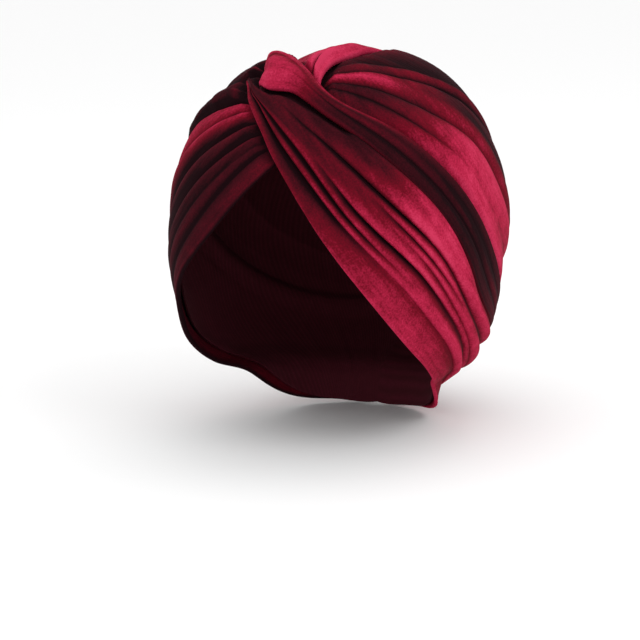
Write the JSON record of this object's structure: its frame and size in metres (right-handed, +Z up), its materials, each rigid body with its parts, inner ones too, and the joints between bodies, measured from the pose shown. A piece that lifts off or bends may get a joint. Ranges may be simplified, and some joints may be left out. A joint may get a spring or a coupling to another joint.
{
  "type": "twist-front turban cap",
  "caption": "Soft full turban cap: pleated wraps cross in a V over the forehead under a folded twist, with a gathered crown and an open hollow for the head.",
  "frame": {"origin": "inside of the crown, where the top of the wearer's head bears", "axes": "+Z up, the wearer faces -Y, +X is the wearer's left"},
  "size_m": [0.1674, 0.194, 0.1963],
  "materials": {
    "crown_velvet": "matt crushed-pile velvet, dark maroon",
    "wrap_velvet": "matt velvet with a soft sheen, crimson",
    "twist_velvet": "matt velvet with a soft sheen, bright raspberry where it faces the light"
  },
  "bodies": {
    "root": {"crown_cap": "crown_velvet", "left_wrap": "wrap_velvet", "right_wrap": "wrap_velvet", "twist_overfold": "twist_velvet", "rear_loop": "twist_velvet"}
  },
  "joints": []
}
